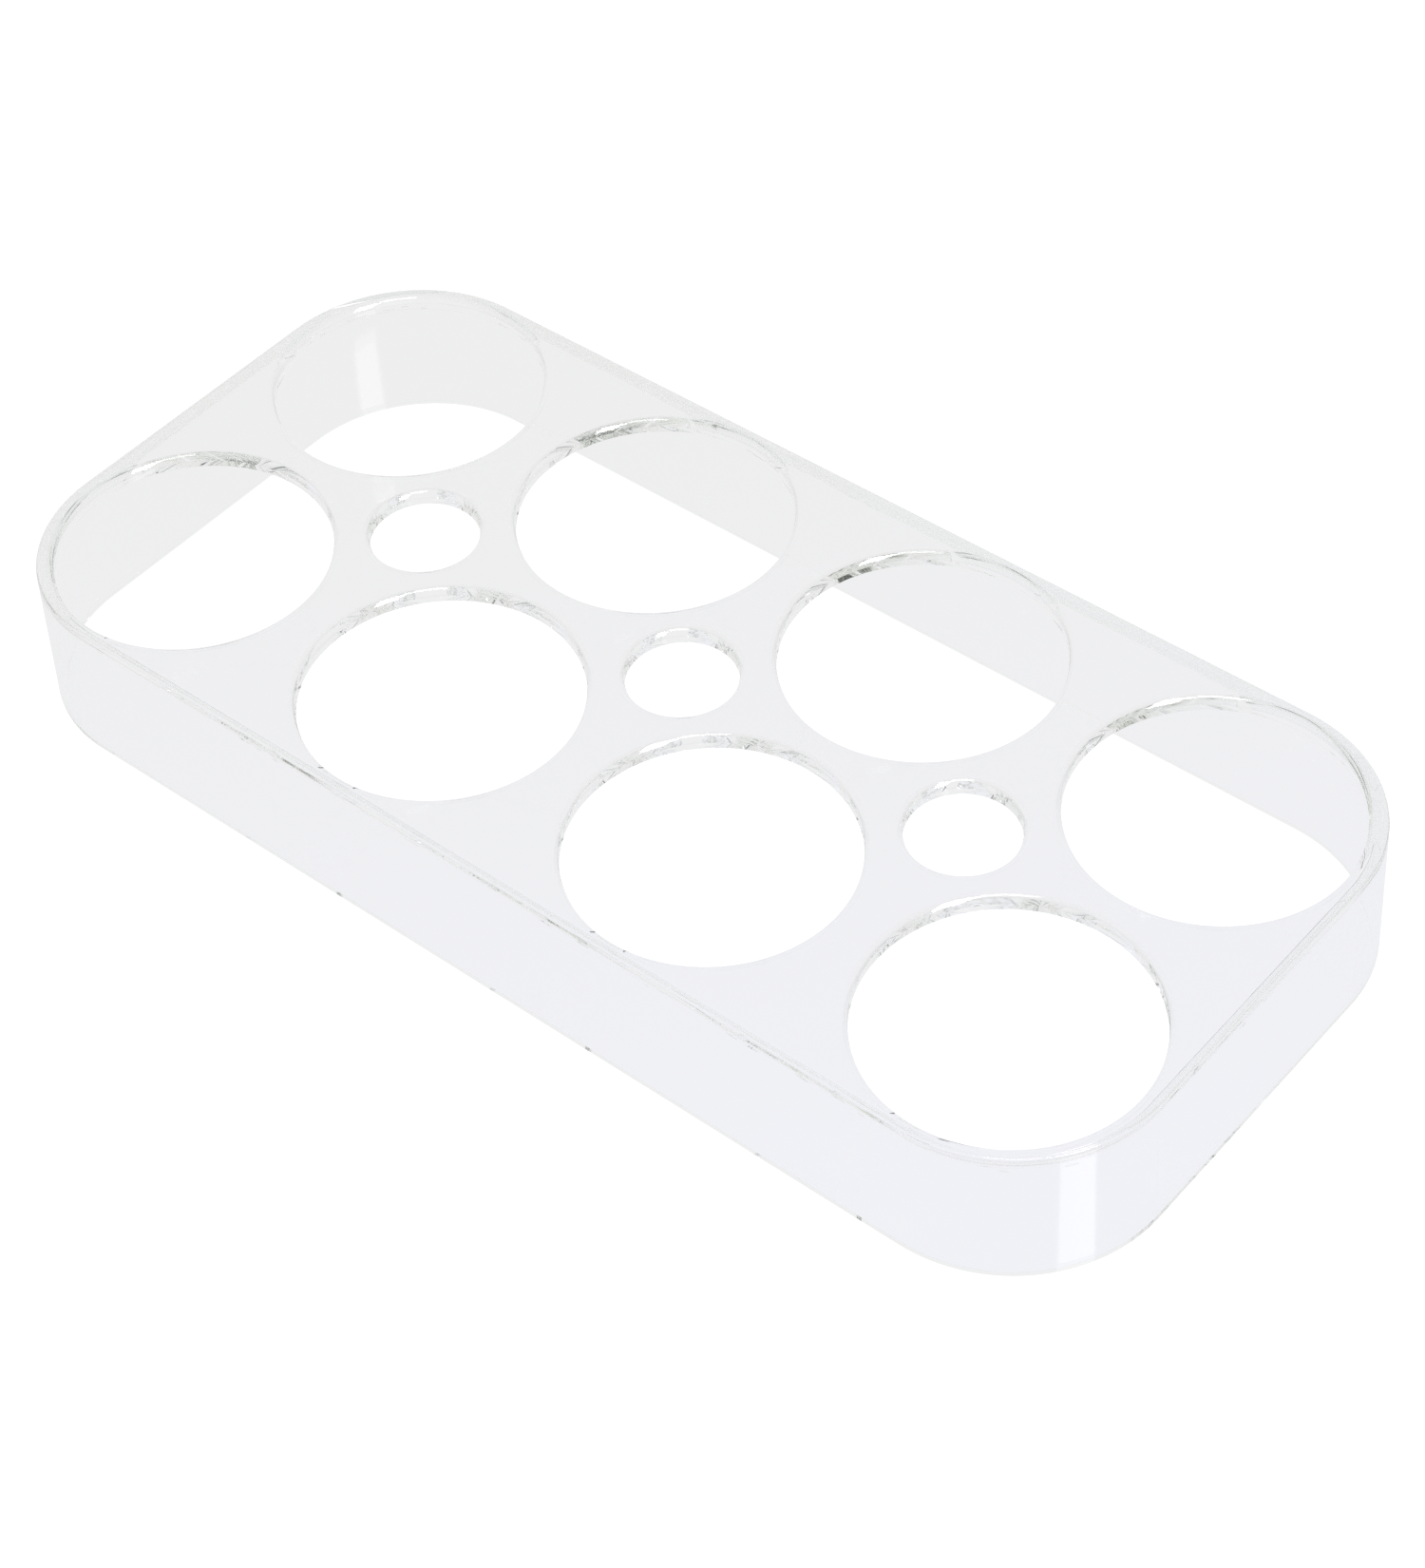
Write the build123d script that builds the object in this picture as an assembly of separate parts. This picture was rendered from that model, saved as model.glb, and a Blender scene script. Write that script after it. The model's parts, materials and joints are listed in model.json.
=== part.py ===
from build123d import *

import os
from math import atan, degrees, radians, tan

# Egg holder tray in clear plastic, in millimetres.
# The origin is the centre of the footprint, on the surface the tray stands on:
# +X runs along a row of four eggs, +Y across the two rows, +Z is up.
# The deck plate lies on top of the wall band and is bonded to it all round.

# Overall size, measured at the top of the deck
TOP_LENGTH = 213.5
TOP_WIDTH = 101.0
TOP_CORNER_RADIUS = 25.6
HEIGHT = 25.2

# Sheet and wall
DECK_THICKNESS = 2.4
WALL_DRAFT = 1.6  # degrees, the outside gets wider towards the foot
WALL_AT_DECK = 1.9
WALL_AT_FOOT = 1.5

# Egg holes, and the smaller holes between each group of four
EGG_COLUMNS = 4
EGG_ROWS = 2
EGG_PITCH_X = 54.0
EGG_PITCH_Y = 51.0
EGG_HOLE_RADIUS = 22.5
SMALL_HOLE_RADIUS = 8.9

# Edges
RIM_BEVEL = 1.2  # top of every hole, at 45 degrees
DECK_EDGE_RADIUS = 0.6  # outer edge of the deck, rounded
HOLE_EDGE_BREAK = 0.15  # underside of every hole, rounded
FOOT_EDGE_BREAK = 0.1  # both edges of the foot, rounded

DECK_UNDERSIDE = HEIGHT - DECK_THICKNESS


def centred(count, pitch):
    """Return positions with an even pitch, centred on zero."""
    return [(index - (count - 1) / 2) * pitch for index in range(count)]


def egg_centres():
    """Return the (x, y) centre of every egg hole."""
    return [
        (x, y)
        for y in centred(EGG_ROWS, EGG_PITCH_Y)
        for x in centred(EGG_COLUMNS, EGG_PITCH_X)
    ]


def small_centres():
    """Return the (x, y) centre of every small hole, on the long centreline."""
    return [(x, 0.0) for x in centred(EGG_COLUMNS - 1, EGG_PITCH_X)]


def outline(z, inset=0.0):
    """Return the tray's rounded outline at height z, moved inwards by inset."""
    grow = (HEIGHT - z) * tan(radians(WALL_DRAFT)) - inset
    length = TOP_LENGTH + 2 * grow
    width = TOP_WIDTH + 2 * grow
    return Pos(0, 0, z) * RectangleRounded(length, width, TOP_CORNER_RADIUS + grow)


def hole_cutters(centres, radius, low, high):
    """Return one upright cylinder for each centre, from z = low to z = high."""
    middle = (low + high) / 2
    return [Pos(x, y, middle) * Cylinder(radius, high - low) for x, y in centres]


def rim_edges(solid, z):
    """Return the edges of the holes that lie in the plane at height z."""
    circles = solid.edges().filter_by(GeomType.CIRCLE)
    return circles.filter_by(
        lambda edge: abs(edge.center().Z - z) < 0.01 and edge.is_closed
    )


def deck():
    """Return the deck plate, with bevelled rims on its egg and small holes."""
    plate = extrude(outline(DECK_UNDERSIDE), DECK_THICKNESS, taper=WALL_DRAFT)
    top_edges = plate.faces().sort_by(Axis.Z)[-1].edges()
    plate = fillet(top_edges, DECK_EDGE_RADIUS)
    low, high = DECK_UNDERSIDE - 1, HEIGHT + 1
    plate -= hole_cutters(egg_centres(), EGG_HOLE_RADIUS, low, high)
    plate -= hole_cutters(small_centres(), SMALL_HOLE_RADIUS, low, high)
    plate = chamfer(rim_edges(plate, HEIGHT), RIM_BEVEL)
    return fillet(rim_edges(plate, DECK_UNDERSIDE), HOLE_EDGE_BREAK)


def cavity():
    """Return the space inside the wall, which narrows upwards to the deck."""
    spread = DECK_UNDERSIDE * tan(radians(WALL_DRAFT)) + WALL_AT_DECK - WALL_AT_FOOT
    draft = degrees(atan(spread / DECK_UNDERSIDE))
    return extrude(outline(0, inset=WALL_AT_FOOT), DECK_UNDERSIDE, taper=draft)


def wall_band():
    """Return the closed wall band that carries the deck and stands on its foot."""
    band = extrude(outline(0), DECK_UNDERSIDE, taper=WALL_DRAFT) - cavity()
    return fillet(band.faces().sort_by(Axis.Z)[0].edges(), FOOT_EDGE_BREAK)


def main():
    os.makedirs("parts", exist_ok=True)
    nodes = {"deck_plate": deck(), "wall_band": wall_band()}
    for name, shape in nodes.items():
        export_step(shape, f"parts/{name}.step")
        size = shape.bounding_box().size
        print(f"{name}: {size.X:.2f} x {size.Y:.2f} x {size.Z:.2f} mm")


main()
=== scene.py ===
import json
from math import asin, atan, cos, hypot, pi, radians, sin, sqrt, tan

import bmesh
import bpy
from mathutils import Matrix, Vector, noise


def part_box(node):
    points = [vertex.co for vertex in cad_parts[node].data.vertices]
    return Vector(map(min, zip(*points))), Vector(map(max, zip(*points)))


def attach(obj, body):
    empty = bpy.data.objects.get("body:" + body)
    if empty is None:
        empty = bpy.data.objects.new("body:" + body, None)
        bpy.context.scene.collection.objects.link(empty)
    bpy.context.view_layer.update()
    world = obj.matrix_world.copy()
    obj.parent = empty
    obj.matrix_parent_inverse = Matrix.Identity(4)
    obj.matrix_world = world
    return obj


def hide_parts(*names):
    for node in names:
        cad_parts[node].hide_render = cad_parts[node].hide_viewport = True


# Clear plastic egg tray. Lengths are in metres. Azimuth, elevation and roll are in degrees,
# and other angles in radians. A profile point is (across, height, normal across, normal up),
# where across is measured outwards from the outline, or from the centre of a hole.

# Shape details that the frame doesn't state
DRAFT = radians(1.6)
CORNER_RADIUS = 0.0256  # of the outline, at the top of the deck
WALL_AT_DECK = 0.0019
WALL_AT_FOOT = 0.0015
RIM_BEVEL = 0.0012
RIM_CROWN_RADIUS = 0.0021
DECK_EDGE_RADIUS = 0.0006
EDGE_BREAK = 0.00015
FOOT_BREAK = 0.0001
SMALL_HOLE_RADIUS = 0.0089

# Fineness of the meshes: length of a step along the outline, steps round a hole, and steps
# in the arcs of the large and the small edge profiles
EDGE_STEP = 0.0009
HOLE_STEPS = 176
EDGE_ARC_STEPS = 14
SMALL_ARC_STEPS = 6

# Bond between the two pieces: the wall reaches a hair into the deck, squeezed-out cement
# leaves a bead in the inside corner, and a few flat voids are trapped in the joint
TONGUE = 0.00002  # how far the wall reaches into the deck
BEAD_RADIUS = 0.0005
BEAD_VARIATION = 0.0003
BEAD_GAP = 0.00002  # smallest radius of the bead, and its clearance from a hole
# Waves in the bead: (noise cells per metre, share of the variation, place in the noise)
BEAD_WAVES = ((160, 1.0, (0.3, 0.7)), (610, 0.6, (4.1, 0.2)))
# Rings across the bond, from its inside at 0 to its outside at 1
BOND_RINGS = (0.0, 0.04, 0.14, 0.26, 0.38, 0.5, 0.64, 0.8, 0.96, 1.0)
# A void is where noise exceeds a level, which rises towards the outside of the bond
VOID_DEPTH = 0.00003
VOID_LEVEL = 0.42
VOID_LEVEL_RISE = 0.25
VOID_CELLS_PER_METRE = 420
VOID_CELLS_ACROSS = 5
VOID_SEED = 7.7

# Plastic: a clear tinted body, shallow waves in its faces, and hair-fine scuffs, which are
# where stretched noise exceeds SCUFF_START
ACRYLIC_IOR = 1.49
TINT = (0.72, 0.76, 0.66, 1.0)
TINT_DENSITY = 5.5
WAVE_SCALE = 55.0
WAVE_DEPTH = 0.000012
SCUFF_SCALE = (1500.0, 60.0, 60.0)
SCUFF_TURN = radians(24)
SCUFF_START = 0.71
SCUFF_ROUGHNESS = 0.08

# Camera: where it stands, which way it looks and how long its lens is
CAMERA_LOCATION = (0.2736, -0.2961, 0.4180)
CAMERA_AZIMUTH = 42.22
CAMERA_ELEVATION = 46.04
CAMERA_ROLL = -3.62
CAMERA_LENS = 84.06
CAMERA_CLIP = (0.01, 20)

# Light table
FLOOR_SIZE = 8.0
FLOOR_DROP = 0.00004  # below the foot, so that the faces don't coincide
FLOOR_IOR = 1.45
FLOOR_ROUGHNESS = 0.08

# Studio: white to the camera, and to everything else a grey that changes from the back to the front,
# over SHADE_REACH on either side of the middle. The world sends this grey as light; the floor glows
# with it as painted light, lighter and bluer towards the front.
SEEN_WHITE = (1.1, 1.1, 1.1, 1.0)
SHADE_BACK = (0.868, 0.868, 0.872, 1.0)
SHADE_FRONT = (0.885, 0.89, 0.935, 1.0)
FRONT_DIRECTION = (0.7, -0.7, 0.0)
SHADE_REACH = 0.08

# Horizon: the studio is dim up to HORIZON_DARK and fully lit from HORIZON_LIGHT, both as the
# sine of the elevation. A lit backdrop behind the tray interrupts the dim band. It starts and
# is complete at these cosines of the angle from BACKDROP_DIRECTION.
HORIZON_DARK = 0.08
HORIZON_LIGHT = 0.3
HORIZON_LEVEL = 0.05
BACKDROP_DIRECTION = (-0.67, 0.74, 0.0)
BACKDROP_EDGE = 0.5
BACKDROP_FULL = 0.85

# Softboxes: name, azimuth, elevation, distance, (width, height), watts
SOFTBOXES = (
    ("key_softbox", 78, 47, 1.2, (0.32, 0.7), 15.5),
    ("rim_softbox", 43, 68, 1.1, (0.36, 0.3), 1.9),
)

# Light is guided a long way inside clear plastic
LIGHT_BOUNCES = 80


def lerp(start, end, amount):
    """The value that lies the given amount of the way from start to end."""
    return start + (end - start) * amount


def outline_stations(half_length, half_width, radius):
    """(point, way out, distance along the edge) at even steps round the tray's outline."""
    a, b = half_length - radius, half_width - radius
    corners = ((a, b), (-a, b), (-a, -b), (a, -b))
    arc_steps = round(radius * pi / 2 / EDGE_STEP)
    stations, distance = [], 0.0
    for quarter, (x, y) in enumerate(corners):
        for step in range(arc_steps):
            angle = (quarter + step / arc_steps) * pi / 2
            way = Vector((cos(angle), sin(angle)))
            stations.append((Vector((x, y)) + way * radius, way, distance))
            distance += radius * pi / 2 / arc_steps
        next_x, next_y = corners[(quarter + 1) % 4]
        run = hypot(next_x - x, next_y - y)
        run_steps = round(run / EDGE_STEP)
        way = Vector((cos((quarter + 1) * pi / 2), sin((quarter + 1) * pi / 2)))
        for step in range(run_steps):
            point = Vector((lerp(x, next_x, step / run_steps), lerp(y, next_y, step / run_steps)))
            stations.append((point + way * radius, way, distance))
            distance += run / run_steps
    return stations


def hole_stations(centre):
    """Stations round a hole: its centre and the way out, at even angles."""
    angles = [2 * pi * step / HOLE_STEPS for step in range(HOLE_STEPS)]
    return [(Vector(centre), Vector((cos(angle), sin(angle))), 0.0) for angle in angles]


def arc(across, height, radius, start, end, steps):
    """Profile points on an arc about (across, height), with normals pointing away from it."""
    angles = [lerp(start, end, step / steps) for step in range(steps + 1)]
    return [(across + radius * cos(t), height + radius * sin(t), cos(t), sin(t)) for t in angles]


class Skin:
    """A mesh made of rings of points, with an exact normal at every corner of every face."""

    def __init__(self):
        self.bm = bmesh.new()
        self.normal = self.bm.loops.layers.float_vector.new("exact_normal")
        self.bonded = self.bm.faces.layers.float.new("bonded")

    def ring(self, stations, across, height):
        """Add one ring of vertices. across and height are numbers, or lists with one per station."""
        count = len(stations)
        acrosses = across if isinstance(across, list) else [across] * count
        heights = height if isinstance(height, list) else [height] * count
        return [
            self.bm.verts.new((*(point + way * out), up))
            for (point, way, _), out, up in zip(stations, acrosses, heights)
        ]

    def face(self, verts, normals, bonded):
        """Add one face, with a normal for each of its corners."""
        face = self.bm.faces.new(verts)
        self.finish_face(face, normals, bonded)

    def finish_face(self, face, normals, bonded):
        """Store a face's normals and bond, and turn it to the side that its normals point to."""
        face.smooth = True
        face[self.bonded] = bonded
        for loop, normal in zip(face.loops, normals):
            loop[self.normal] = normal
        face.normal_update()
        if face.normal.dot(sum(normals, Vector((0, 0, 0)))) < 0:
            face.normal_flip()

    def strip(self, first, second, first_normals, second_normals, bonded=None):
        """Join two rings with a closed strip of quads. bonded has one value per quad."""
        count = len(first)
        for i in range(count):
            j = (i + 1) % count
            self.face(
                (first[i], first[j], second[j], second[i]),
                (first_normals[i], first_normals[j], second_normals[j], second_normals[i]),
                bonded[i] if bonded else 0.0,
            )

    def sweep(self, stations, profile):
        """Sweep a profile round the stations and return its first and last ring."""
        rings = [self.ring(stations, across, height) for across, height, _, _ in profile]
        normals = [
            [Vector((*(way * side), up)).normalized() for _, way, _ in stations]
            for _, _, side, up in profile
        ]
        for k in range(len(profile) - 1):
            self.strip(rings[k], rings[k + 1], normals[k], normals[k + 1])
        return rings[0], rings[-1]

    def fill(self, rings, up):
        """Close the flat area between rings with faces whose normal is (0, 0, up)."""
        edges = [
            self.bm.edges.get((ring[i - 1], ring[i])) for ring in rings for i in range(len(ring))
        ]
        made = bmesh.ops.triangle_fill(self.bm, edges=edges, use_beauty=True)
        for item in made["geom"]:
            if isinstance(item, bmesh.types.BMFace):
                self.finish_face(item, [Vector((0, 0, up))] * len(item.verts), 0.0)

    def to_object(self, name, material):
        """Turn the skin into a piece of the tray."""
        mesh = bpy.data.meshes.new(name)
        self.bm.to_mesh(mesh)
        self.bm.free()
        exact = mesh.attributes["exact_normal"]
        mesh.normals_split_custom_set([item.vector for item in exact.data])
        mesh.attributes.remove(mesh.attributes["exact_normal"])
        mesh.materials.append(material)
        piece = bpy.data.objects.new(name, mesh)
        bpy.context.scene.collection.objects.link(piece)
        return piece


def flat(stations, up):
    """The same upright normal at every station: 1 is up and -1 is down."""
    return [Vector((0, 0, up))] * len(stations)


def bead_radii(stations, holes):
    """Radius of the cement bead at each station. It stays clear of the holes above it."""
    radii = []
    for point, way, distance in stations:
        wave = sum(
            share * noise.noise((distance * cells, *place)) for cells, share, place in BEAD_WAVES
        )
        corner = point - way * WALL_AT_DECK
        room = min((corner - centre).length - radius - EDGE_BREAK for centre, radius in holes)
        radii.append(max(BEAD_GAP, min(BEAD_RADIUS + BEAD_VARIATION * wave, room - BEAD_GAP)))
    return radii


def bead_profile(radius, angle, bond_height):
    """One point of the bead: (across, height), where angle runs from the wall to the deck."""
    lean = inner_draft(bond_height)
    centre = -WALL_AT_DECK + radius * ((1 - sin(lean)) * tan(lean) - cos(lean))
    return centre + radius * cos(angle), bond_height - radius + radius * sin(angle)


def inner_draft(bond_height):
    """Angle of the wall's inside, which leans more than its outside."""
    return atan(tan(DRAFT) + (WALL_AT_DECK - WALL_AT_FOOT) / bond_height)


def bond_layout(stations, radii, bond_height):
    """Across positions of the bond's rings, and which of their points lie in a void."""
    tips = [bead_profile(radius, pi / 2, bond_height)[0] for radius in radii]
    rings = [[tip * (1 - share) for tip in tips] for share in BOND_RINGS]
    voids = []
    for k, share in enumerate(BOND_RINGS):
        inside = 1 < k < len(BOND_RINGS) - 2  # the bond's edges have no voids
        level = VOID_LEVEL + VOID_LEVEL_RISE * share
        places = [
            (distance * VOID_CELLS_PER_METRE, share * VOID_CELLS_ACROSS, VOID_SEED)
            for _, _, distance in stations
        ]
        voids.append([inside and noise.noise(place) > level for place in places])
    return rings, voids


def bonded_quads(voids, k):
    """1 for each quad between ring k and ring k + 1 that is bonded, 0 where it is in a void."""
    near, far = voids[k], voids[k + 1]
    count = len(near)
    return [
        0.0 if near[i] or near[(i + 1) % count] or far[i] or far[(i + 1) % count] else 1.0
        for i in range(count)
    ]


def crowned_bevel(radius, high):
    """Rim of a hole: a 45 degree bevel with a slight crown, from the top face to the hole's wall."""
    diagonal = sqrt(0.5)
    half_turn = asin(RIM_BEVEL * diagonal / RIM_CROWN_RADIUS)
    middle, rise = RIM_BEVEL / 2, RIM_CROWN_RADIUS * cos(half_turn) * diagonal
    facing = 3 * pi / 4
    across, height = radius + middle + rise, high - middle - rise
    start, end = facing - half_turn, facing + half_turn
    return arc(across, height, RIM_CROWN_RADIUS, start, end, EDGE_ARC_STEPS)


def make_deck(stations, holes, layout, low, high, material):
    """The deck plate: bevelled rims on its holes, and the ring that is bonded to the wall."""
    skin = Skin()

    # Outer edge, from the top face to the underside
    lean_in = -(high - low) * tan(DRAFT)
    centre = lean_in + DECK_EDGE_RADIUS * ((1 - sin(DRAFT)) * tan(DRAFT) - cos(DRAFT))
    side = arc(centre, high - DECK_EDGE_RADIUS, DECK_EDGE_RADIUS, pi / 2, DRAFT, EDGE_ARC_STEPS)
    side.append((0.0, low, cos(DRAFT), sin(DRAFT)))
    top, outer = skin.sweep(stations, side)

    # Bond on the underside
    acrosses, voids = layout
    rings = [skin.ring(stations, across, low) for across in acrosses[:-1]] + [outer]
    for k in range(len(rings) - 1):
        down = flat(stations, -1)
        skin.strip(rings[k], rings[k + 1], down, down, bonded_quads(voids, k))

    # Holes, and the flat faces between them
    tops, bottoms = [top], [rings[0]]
    for hole, radius in holes:
        around = hole_stations(hole)
        rim, upper = skin.sweep(around, crowned_bevel(radius, high))
        across, height = radius + EDGE_BREAK, low + EDGE_BREAK
        underneath = arc(across, height, EDGE_BREAK, pi, 1.5 * pi, SMALL_ARC_STEPS)
        lower, underside = skin.sweep(around, underneath)
        level = [Vector((*-way, 0)) for _, way, _ in around]
        skin.strip(upper, lower, level, level)
        tops.append(rim)
        bottoms.append(underside)
    skin.fill(tops, 1)
    skin.fill(bottoms, -1)
    return skin.to_object("deck_clear", material)


def make_band(stations, radii, layout, bond_height, material):
    """The wall band: drafted on both sides, with a broken foot edge and the cement bead."""
    skin = Skin()

    # Outside, foot and inside
    lean = inner_draft(bond_height)
    outer_tangent = FOOT_BREAK * (1 + sin(DRAFT))
    outer_centre = (bond_height - outer_tangent) * tan(DRAFT) - FOOT_BREAK * cos(DRAFT)
    inner_tangent = FOOT_BREAK * (1 - sin(lean))
    inner_centre = -WALL_AT_DECK + (bond_height - inner_tangent) * tan(lean) + FOOT_BREAK * cos(lean)
    side = [(0.0, bond_height, cos(DRAFT), sin(DRAFT))]
    side += arc(outer_centre, FOOT_BREAK, FOOT_BREAK, DRAFT, -pi / 2, SMALL_ARC_STEPS)
    side += arc(inner_centre, FOOT_BREAK, FOOT_BREAK, -pi / 2, lean - pi, SMALL_ARC_STEPS)
    outer, previous = skin.sweep(stations, side)

    # Bead, from the inside of the wall to the deck
    normals = [Vector((*(way * -cos(lean)), -sin(lean))) for _, way, _ in stations]
    for step in range(SMALL_ARC_STEPS + 1):
        angle = lerp(lean, pi / 2, step / SMALL_ARC_STEPS)
        points = [bead_profile(radius, angle, bond_height) for radius in radii]
        ring = skin.ring(stations, [p[0] for p in points], [p[1] for p in points])
        turned = [Vector((*(way * -cos(angle)), -sin(angle))) for _, way, _ in stations]
        skin.strip(previous, ring, normals, turned)
        previous, normals = ring, turned

    # Bond on the top edge
    acrosses, voids = layout
    up = flat(stations, 1)
    for k in range(1, len(BOND_RINGS)):
        if k < len(BOND_RINGS) - 1:
            heights = [bond_height + (-VOID_DEPTH if void else TONGUE) for void in voids[k]]
            ring = skin.ring(stations, acrosses[k], heights)
        else:
            ring = outer
        skin.strip(previous, ring, up, up, bonded_quads(voids, k - 1))
        previous = ring
    return skin.to_object("band_clear", material)


def add_node(tree, kind, **settings):
    """Add a node. A setting is the value of the input with its name, or else a property."""
    node = tree.nodes.new(kind)
    for name, value in settings.items():
        if name in node.inputs:
            node.inputs[name].default_value = value
        else:
            setattr(node, name, value)
    return node


def math_node(tree, operation, *values):
    """Output of a math node. Each value is a number or another node's output."""
    node = add_node(tree, "ShaderNodeMath", operation=operation)
    for socket, value in zip(node.inputs, values):
        if isinstance(value, bpy.types.NodeSocket):
            tree.links.new(value, socket)
        else:
            socket.default_value = value
    return node.outputs[0]


def map_range(tree, value, start, end, low=0.0, high=1.0, kind="LINEAR"):
    """Output that goes from low to high while value goes from start to end."""
    node = add_node(tree, "ShaderNodeMapRange", interpolation_type=kind)
    for name, number in (("From Min", start), ("From Max", end), ("To Min", low), ("To Max", high)):
        node.inputs[name].default_value = number
    tree.links.new(value, node.inputs["Value"])
    return node.outputs[0]


def reach(tree, place, direction):
    """Output that says how far a place lies in a direction from the origin."""
    node = add_node(tree, "ShaderNodeVectorMath", operation="DOT_PRODUCT")
    tree.links.new(place, node.inputs[0])
    node.inputs[1].default_value = direction
    return node.outputs["Value"]


def mix_shaders(tree, amount, first, second):
    """The first shader where amount is 0, and the second where it is 1."""
    node = add_node(tree, "ShaderNodeMixShader")
    for socket, value in zip(node.inputs, (amount, first, second)):
        tree.links.new(value, socket)
    return node.outputs[0]


def new_material(name):
    """A material with an empty tree: the material, its tree and its output node."""
    material = bpy.data.materials.new(name)
    material.use_nodes = True
    tree = material.node_tree
    tree.nodes.clear()
    return material, tree, add_node(tree, "ShaderNodeOutputMaterial")


def polish(tree):
    """Roughness of the plastic: polished, with a few hair-fine scuffs."""
    place = add_node(tree, "ShaderNodeTexCoord")
    stretch = add_node(tree, "ShaderNodeMapping")
    stretch.inputs["Rotation"].default_value = (0, 0, SCUFF_TURN)
    stretch.inputs["Scale"].default_value = SCUFF_SCALE
    tree.links.new(place.outputs["Object"], stretch.inputs["Vector"])
    grain = add_node(tree, "ShaderNodeTexNoise", Scale=1.0, Detail=2.0)
    tree.links.new(stretch.outputs[0], grain.inputs["Vector"])
    return map_range(tree, grain.outputs["Fac"], SCUFF_START, 1.0, high=SCUFF_ROUGHNESS)


def waviness(tree):
    """Normal of a sheet that isn't perfectly flat: shallow waves about two centimetres long."""
    place = add_node(tree, "ShaderNodeTexCoord")
    waves = add_node(tree, "ShaderNodeTexNoise", Scale=WAVE_SCALE, Detail=1.0)
    tree.links.new(place.outputs["Object"], waves.inputs["Vector"])
    bump = add_node(tree, "ShaderNodeBump", Distance=WAVE_DEPTH)
    tree.links.new(waves.outputs["Fac"], bump.inputs["Height"])
    return bump.outputs[0]


def clear_plastic(name):
    """Polished clear plastic with a faint grey-green tint in its depth, open where it is bonded."""
    material, tree, output = new_material(name)
    shader = add_node(tree, "ShaderNodeBsdfPrincipled", IOR=ACRYLIC_IOR)
    shader.inputs["Transmission Weight"].default_value = 1.0
    shader.inputs["Base Color"].default_value = (1, 1, 1, 1)
    tree.links.new(polish(tree), shader.inputs["Roughness"])
    tree.links.new(waviness(tree), shader.inputs["Normal"])
    bonded = add_node(tree, "ShaderNodeAttribute", attribute_name="bonded")
    tree.links.new(math_node(tree, "SUBTRACT", 1.0, bonded.outputs["Fac"]), shader.inputs["Alpha"])
    tree.links.new(shader.outputs[0], output.inputs["Surface"])
    depth = add_node(tree, "ShaderNodeVolumeAbsorption", Color=TINT, Density=TINT_DENSITY)
    tree.links.new(depth.outputs[0], output.inputs["Volume"])
    return material


def shade(tree, place):
    """Grey of the studio, which turns a little lighter and bluer towards the front. The world sends
    it as light, and the floor glows with it as painted light.
    """
    amount = map_range(tree, reach(tree, place, FRONT_DIRECTION), -SHADE_REACH, SHADE_REACH)
    tint = add_node(tree, "ShaderNodeMix", data_type="RGBA")
    factor, back, front = tint.inputs[0], tint.inputs[6], tint.inputs[7]
    tree.links.new(amount, factor)
    back.default_value = SHADE_BACK
    front.default_value = SHADE_FRONT
    return tint.outputs[2]


def make_floor():
    """A glossy light table: white to the camera, and clear from below. To everything else it glows
    with the studio's grey, which is painted light, lighter and bluer towards the front."""
    mesh = bpy.data.meshes.new("floor")
    half = FLOOR_SIZE / 2
    corners = ((-half, -half), (half, -half), (half, half), (-half, half))
    mesh.from_pydata([(x, y, -FLOOR_DROP) for x, y in corners], [], [(0, 1, 2, 3)])
    floor = bpy.data.objects.new("floor", mesh)
    bpy.context.scene.collection.objects.link(floor)
    material, tree, output = new_material("light_table")
    place = add_node(tree, "ShaderNodeNewGeometry")
    path = add_node(tree, "ShaderNodeLightPath")
    # Painted light: the floor glows with the studio's grey for every ray but the camera's, so the
    # plastic shows this painted light and shade
    glow = add_node(tree, "ShaderNodeEmission")
    tree.links.new(shade(tree, place.outputs["Position"]), glow.inputs["Color"])
    gloss = add_node(tree, "ShaderNodeBsdfGlossy", Roughness=FLOOR_ROUGHNESS)
    fresnel = add_node(tree, "ShaderNodeFresnel", IOR=FLOOR_IOR)
    polished = mix_shaders(tree, fresnel.outputs[0], glow.outputs[0], gloss.outputs[0])
    white = add_node(tree, "ShaderNodeEmission", Color=SEEN_WHITE)
    seen = mix_shaders(tree, path.outputs["Is Camera Ray"], polished, white.outputs[0])
    below = add_node(tree, "ShaderNodeBsdfTransparent")
    sided = mix_shaders(tree, place.outputs["Backfacing"], seen, below.outputs[0])
    tree.links.new(sided, output.inputs["Surface"])
    mesh.materials.append(material)


def make_world():
    """The studio all round: white to the camera, and grey to everything else, with a dim band
    near the horizon except behind the tray."""
    world = bpy.data.worlds.new("studio")
    world.use_nodes = True
    tree = world.node_tree
    tree.nodes.clear()
    output = add_node(tree, "ShaderNodeOutputWorld")
    path = add_node(tree, "ShaderNodeLightPath")
    place = add_node(tree, "ShaderNodeTexCoord").outputs["Generated"]
    around = add_node(tree, "ShaderNodeBackground")
    tree.links.new(shade(tree, place), around.inputs["Color"])
    height = reach(tree, place, (0, 0, 1))
    lit = map_range(tree, height, HORIZON_DARK, HORIZON_LIGHT, low=HORIZON_LEVEL, kind="SMOOTHSTEP")
    behind = reach(tree, place, BACKDROP_DIRECTION)
    backdrop = map_range(tree, behind, BACKDROP_EDGE, BACKDROP_FULL, kind="SMOOTHSTEP")
    tree.links.new(math_node(tree, "MAXIMUM", lit, backdrop), around.inputs["Strength"])
    white = add_node(tree, "ShaderNodeBackground", Color=SEEN_WHITE)
    seen = mix_shaders(tree, path.outputs["Is Camera Ray"], around.outputs[0], white.outputs[0])
    tree.links.new(seen, output.inputs["Surface"])
    bpy.context.scene.world = world


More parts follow.
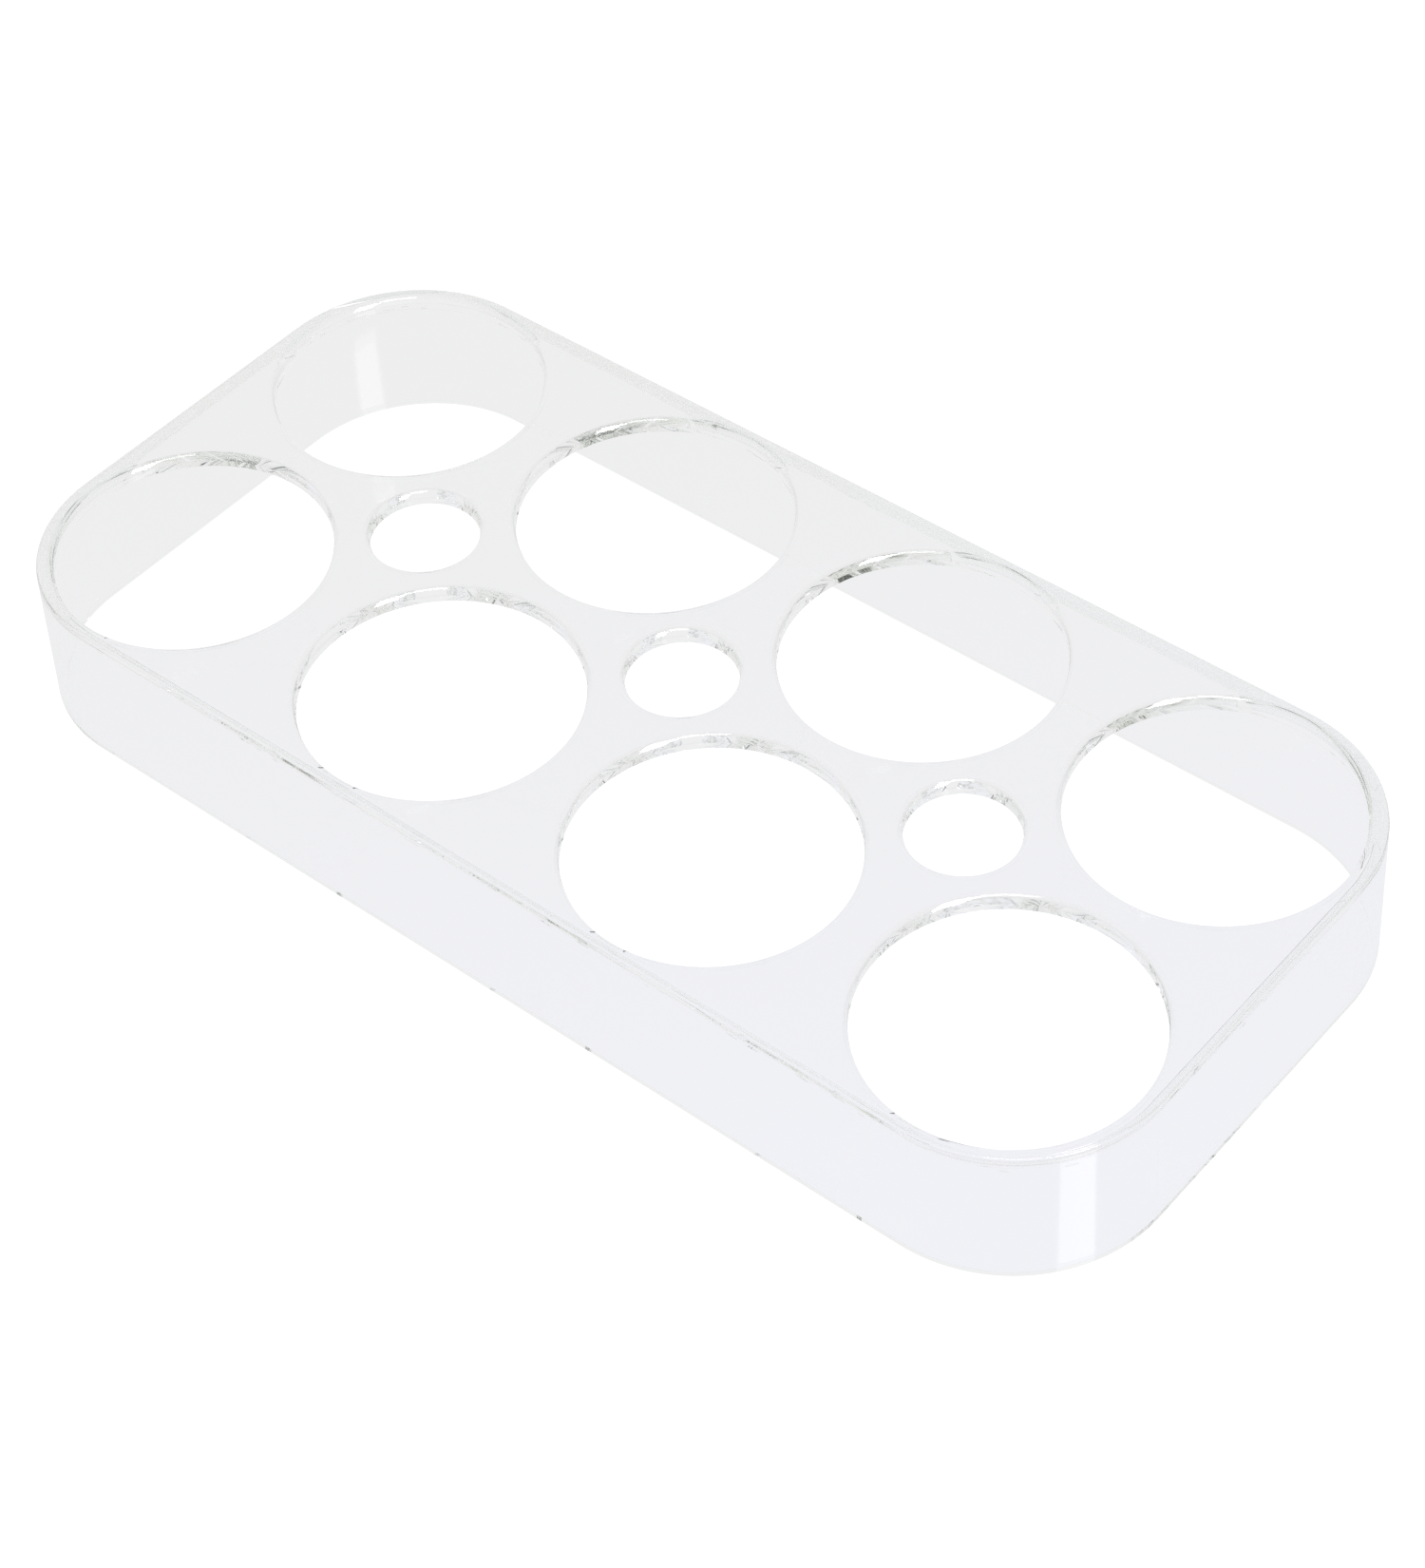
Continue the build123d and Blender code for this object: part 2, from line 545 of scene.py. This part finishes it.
def aim(azimuth, elevation):
    """Rotation of a lamp or camera that looks inwards: azimuth 0 is at -Y, and 90 is at +X."""
    tilt = Matrix.Rotation(radians(90 - elevation), 4, "X")
    return Matrix.Rotation(radians(azimuth), 4, "Z") @ tilt


def make_softbox(name, azimuth, elevation, distance, size, power):
    """A rectangular area light that faces the tray, and isn't seen through the plastic."""
    light = bpy.data.lights.new(name, "AREA")
    light.shape = "RECTANGLE"
    light.size, light.size_y = size
    light.energy = power
    lamp = bpy.data.objects.new(name, light)
    lamp.matrix_world = aim(azimuth, elevation) @ Matrix.Translation((0, 0, distance))
    lamp.visible_transmission = False
    bpy.context.scene.collection.objects.link(lamp)


def make_camera():
    """The camera that the tray is pictured from."""
    data = bpy.data.cameras.new("camera")
    data.lens = CAMERA_LENS
    data.clip_start, data.clip_end = CAMERA_CLIP
    camera = bpy.data.objects.new("camera", data)
    roll = Matrix.Rotation(radians(CAMERA_ROLL), 4, "Z")
    turn = aim(CAMERA_AZIMUTH, CAMERA_ELEVATION) @ roll
    camera.matrix_world = Matrix.Translation(CAMERA_LOCATION) @ turn
    bpy.context.scene.collection.objects.link(camera)
    bpy.context.scene.camera = camera


def read_holes(record):
    """(centre, radius) of every hole: the egg seats, then the small holes between them."""
    seats = [mount for mount in record["mounts"] if mount["kind"] == "bore"]
    holes = [(Vector(seat["pos_m"][:2]), seat["dims"]["r_mm"] / 1000) for seat in seats]
    for opening in record["physics"]["openings"]:
        if opening["name"].startswith("small_hole"):
            low, high = opening["box_m"]
            middle = (Vector(low[:2]) + Vector(high[:2])) / 2
            holes.append((middle, SMALL_HOLE_RADIUS))
    return holes


def make_tray(frame):
    """Make both pieces of the tray in the places of their CAD nodes."""
    deck_low, deck_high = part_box("deck_plate")
    bond_height = deck_low.z
    radius = CORNER_RADIUS + (deck_high.z - bond_height) * tan(DRAFT)
    stations = outline_stations(deck_high.x, deck_high.y, radius)
    holes = read_holes(frame["record"])
    radii = bead_radii(stations, holes)
    layout = bond_layout(stations, radii, bond_height)
    deck_plastic, wall_plastic = clear_plastic("deck_plastic"), clear_plastic("wall_plastic")
    deck = make_deck(stations, holes, layout, bond_height, deck_high.z, deck_plastic)
    band = make_band(stations, radii, layout, bond_height, wall_plastic)
    for piece, node, slot in ((deck, "deck_plate", "clear_deck"), (band, "wall_band", "clear_wall")):
        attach(piece, "root")
        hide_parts(node)


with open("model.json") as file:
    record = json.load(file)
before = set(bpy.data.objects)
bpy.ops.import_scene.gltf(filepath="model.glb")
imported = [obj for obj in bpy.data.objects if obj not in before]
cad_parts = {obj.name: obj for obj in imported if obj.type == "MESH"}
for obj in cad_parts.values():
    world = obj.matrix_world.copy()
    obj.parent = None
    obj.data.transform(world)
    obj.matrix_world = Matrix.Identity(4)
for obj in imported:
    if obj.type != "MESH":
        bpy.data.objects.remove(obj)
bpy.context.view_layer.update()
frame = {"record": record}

make_tray(frame)
make_floor()
make_world()
for softbox in SOFTBOXES:
    make_softbox(*softbox)
make_camera()

scene = bpy.context.scene
scene.view_settings.view_transform = "Standard"
scene.cycles.max_bounces = LIGHT_BOUNCES
scene.cycles.transmission_bounces = LIGHT_BOUNCES
scene.cycles.glossy_bounces = LIGHT_BOUNCES
scene.cycles.transparent_max_bounces = LIGHT_BOUNCES
